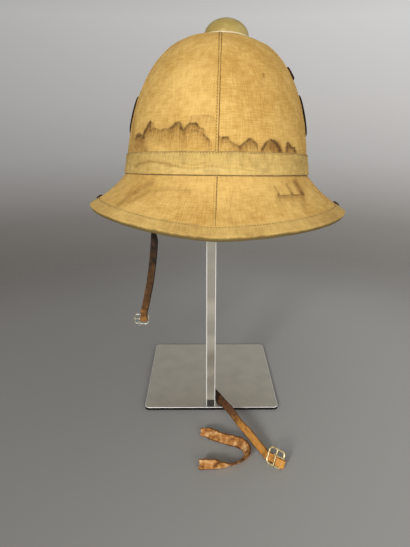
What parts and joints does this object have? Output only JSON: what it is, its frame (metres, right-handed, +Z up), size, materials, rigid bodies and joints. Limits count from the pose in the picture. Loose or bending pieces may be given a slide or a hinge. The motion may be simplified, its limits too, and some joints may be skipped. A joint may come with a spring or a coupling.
{
  "type": "pith helmet on a display stand",
  "caption": "Cloth-covered pith helmet with a wide sloping brim, band, domed ventilator and broken leather chin strap, held up on a plain metal display stand.",
  "frame": {"origin": "middle of the underside of the stand's plate", "axes": "+Z up, +X to the viewer's right, +Y away from a viewer who faces the front of the helmet"},
  "size_m": [0.2612, 0.3228, 0.4052],
  "materials": {
    "khaki_cloth": "faded khaki drill cloth, matte, stained brown in wavy tide lines on the front",
    "seam_cloth": "folded and stitched khaki cloth, matte",
    "hem_cloth": "khaki cloth turned round the edge, browner where it is worn",
    "band_cloth": "khaki cloth band, a little greener, softly wrinkled",
    "pith": "bare pith, matte",
    "vent_metal": "khaki paint worn to a satin",
    "dark_metal": "dark tarnished metal",
    "pale_wire": "dull pale plated wire",
    "brass_wire": "worn bright brass wire",
    "brown_leather": "dark brown leather, lighter towards the buckle",
    "dark_leather": "old brown leather, near black at the torn end and tan at the buckle",
    "tan_leather": "rough tan flesh side of old leather",
    "polished_steel": "smooth polished steel"
  },
  "bodies": {
    "root": {"badge_left": "dark_metal", "badge_right": "dark_metal", "badge_right_small": "dark_metal", "band": "band_cloth", "brim_binding": "hem_cloth", "brim_panel_front_left": "khaki_cloth", "brim_panel_front_right": "khaki_cloth", "brim_panel_rear_left": "khaki_cloth", "brim_panel_rear_right": "khaki_cloth", "brim_seam_front": "seam_cloth", "brim_seam_left": "seam_cloth", "brim_seam_rear": "seam_cloth", "brim_seam_right": "seam_cloth", "buckle_hanging": "pale_wire", "buckle_loose": "brass_wire", "crown_seam_front": "seam_cloth", "crown_seam_rear": "seam_cloth", "crown_seam_rear_left": "seam_cloth", "crown_seam_rear_right": "seam_cloth", "crown_seam_side_left": "seam_cloth", "crown_seam_side_right": "seam_cloth", "gore_front_left": "khaki_cloth", "gore_front_right": "khaki_cloth", "gore_rear_left": "khaki_cloth", "gore_rear_right": "khaki_cloth", "gore_side_left": "khaki_cloth", "gore_side_right": "khaki_cloth", "pith_shell": "pith", "prong_hanging": "pale_wire", "prong_loose": "brass_wire", "stand_base": "polished_steel", "stand_post": "polished_steel", "stand_rest": "polished_steel", "strap_hanging": "brown_leather", "strap_loose": "dark_leather", "strap_rivet": "brass_wire", "strap_scrap": "tan_leather", "stud_left": "dark_metal", "stud_right": "dark_metal", "vent_cap": "vent_metal", "vent_collar": "vent_metal"}
  },
  "joints": []
}
